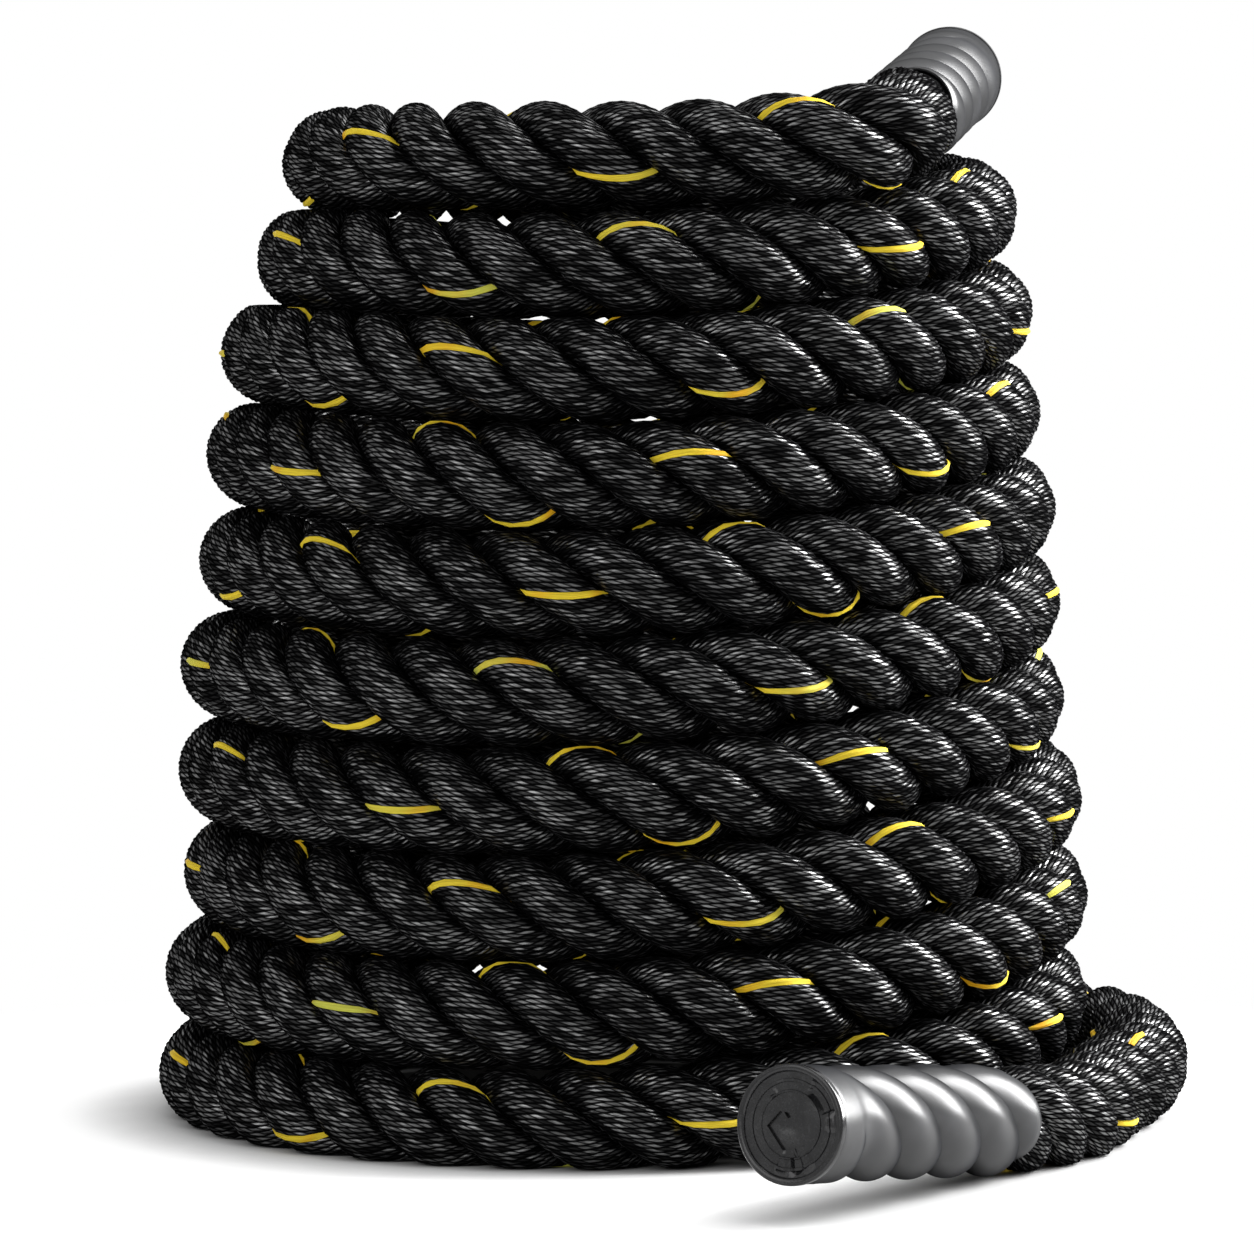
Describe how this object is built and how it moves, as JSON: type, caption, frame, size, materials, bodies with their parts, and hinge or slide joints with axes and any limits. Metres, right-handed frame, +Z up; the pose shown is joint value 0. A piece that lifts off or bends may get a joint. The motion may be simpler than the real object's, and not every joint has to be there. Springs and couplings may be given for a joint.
{
  "type": "battle rope",
  "caption": "Heavy three-strand laid training rope coiled in an upright stack, with a ridged shrunk grip sleeve and a moulded cap on each end.",
  "frame": {"origin": "centre of the coil's and the ends' overall footprint, on the floor that the coil stands on", "axes": "+Z up along the stack; -Y towards the side that the lower grip points to; +X towards the side where the loose run lies on the floor"},
  "size_m": [0.3732, 0.4651, 0.3955],
  "materials": {
    "rope": "laid polyester yarn with a yellow tracer yarn in one strand",
    "tape": "binding tape",
    "sleeve": "satin heat-shrink sleeve",
    "cap": "gloss moulded"
  },
  "bodies": {
    "root": {"rope_coil": "rope", "rope_floor_run": "rope", "lower_strand_end_1": "rope", "lower_strand_end_2": "rope", "lower_strand_end_3": "rope", "upper_strand_end_1": "rope", "upper_strand_end_2": "rope", "upper_strand_end_3": "rope", "lower_binding_tape": "tape", "upper_binding_tape": "tape", "lower_grip_sleeve": "sleeve", "upper_grip_sleeve": "sleeve", "lower_end_cap": "cap", "upper_end_cap": "cap"}
  },
  "joints": []
}
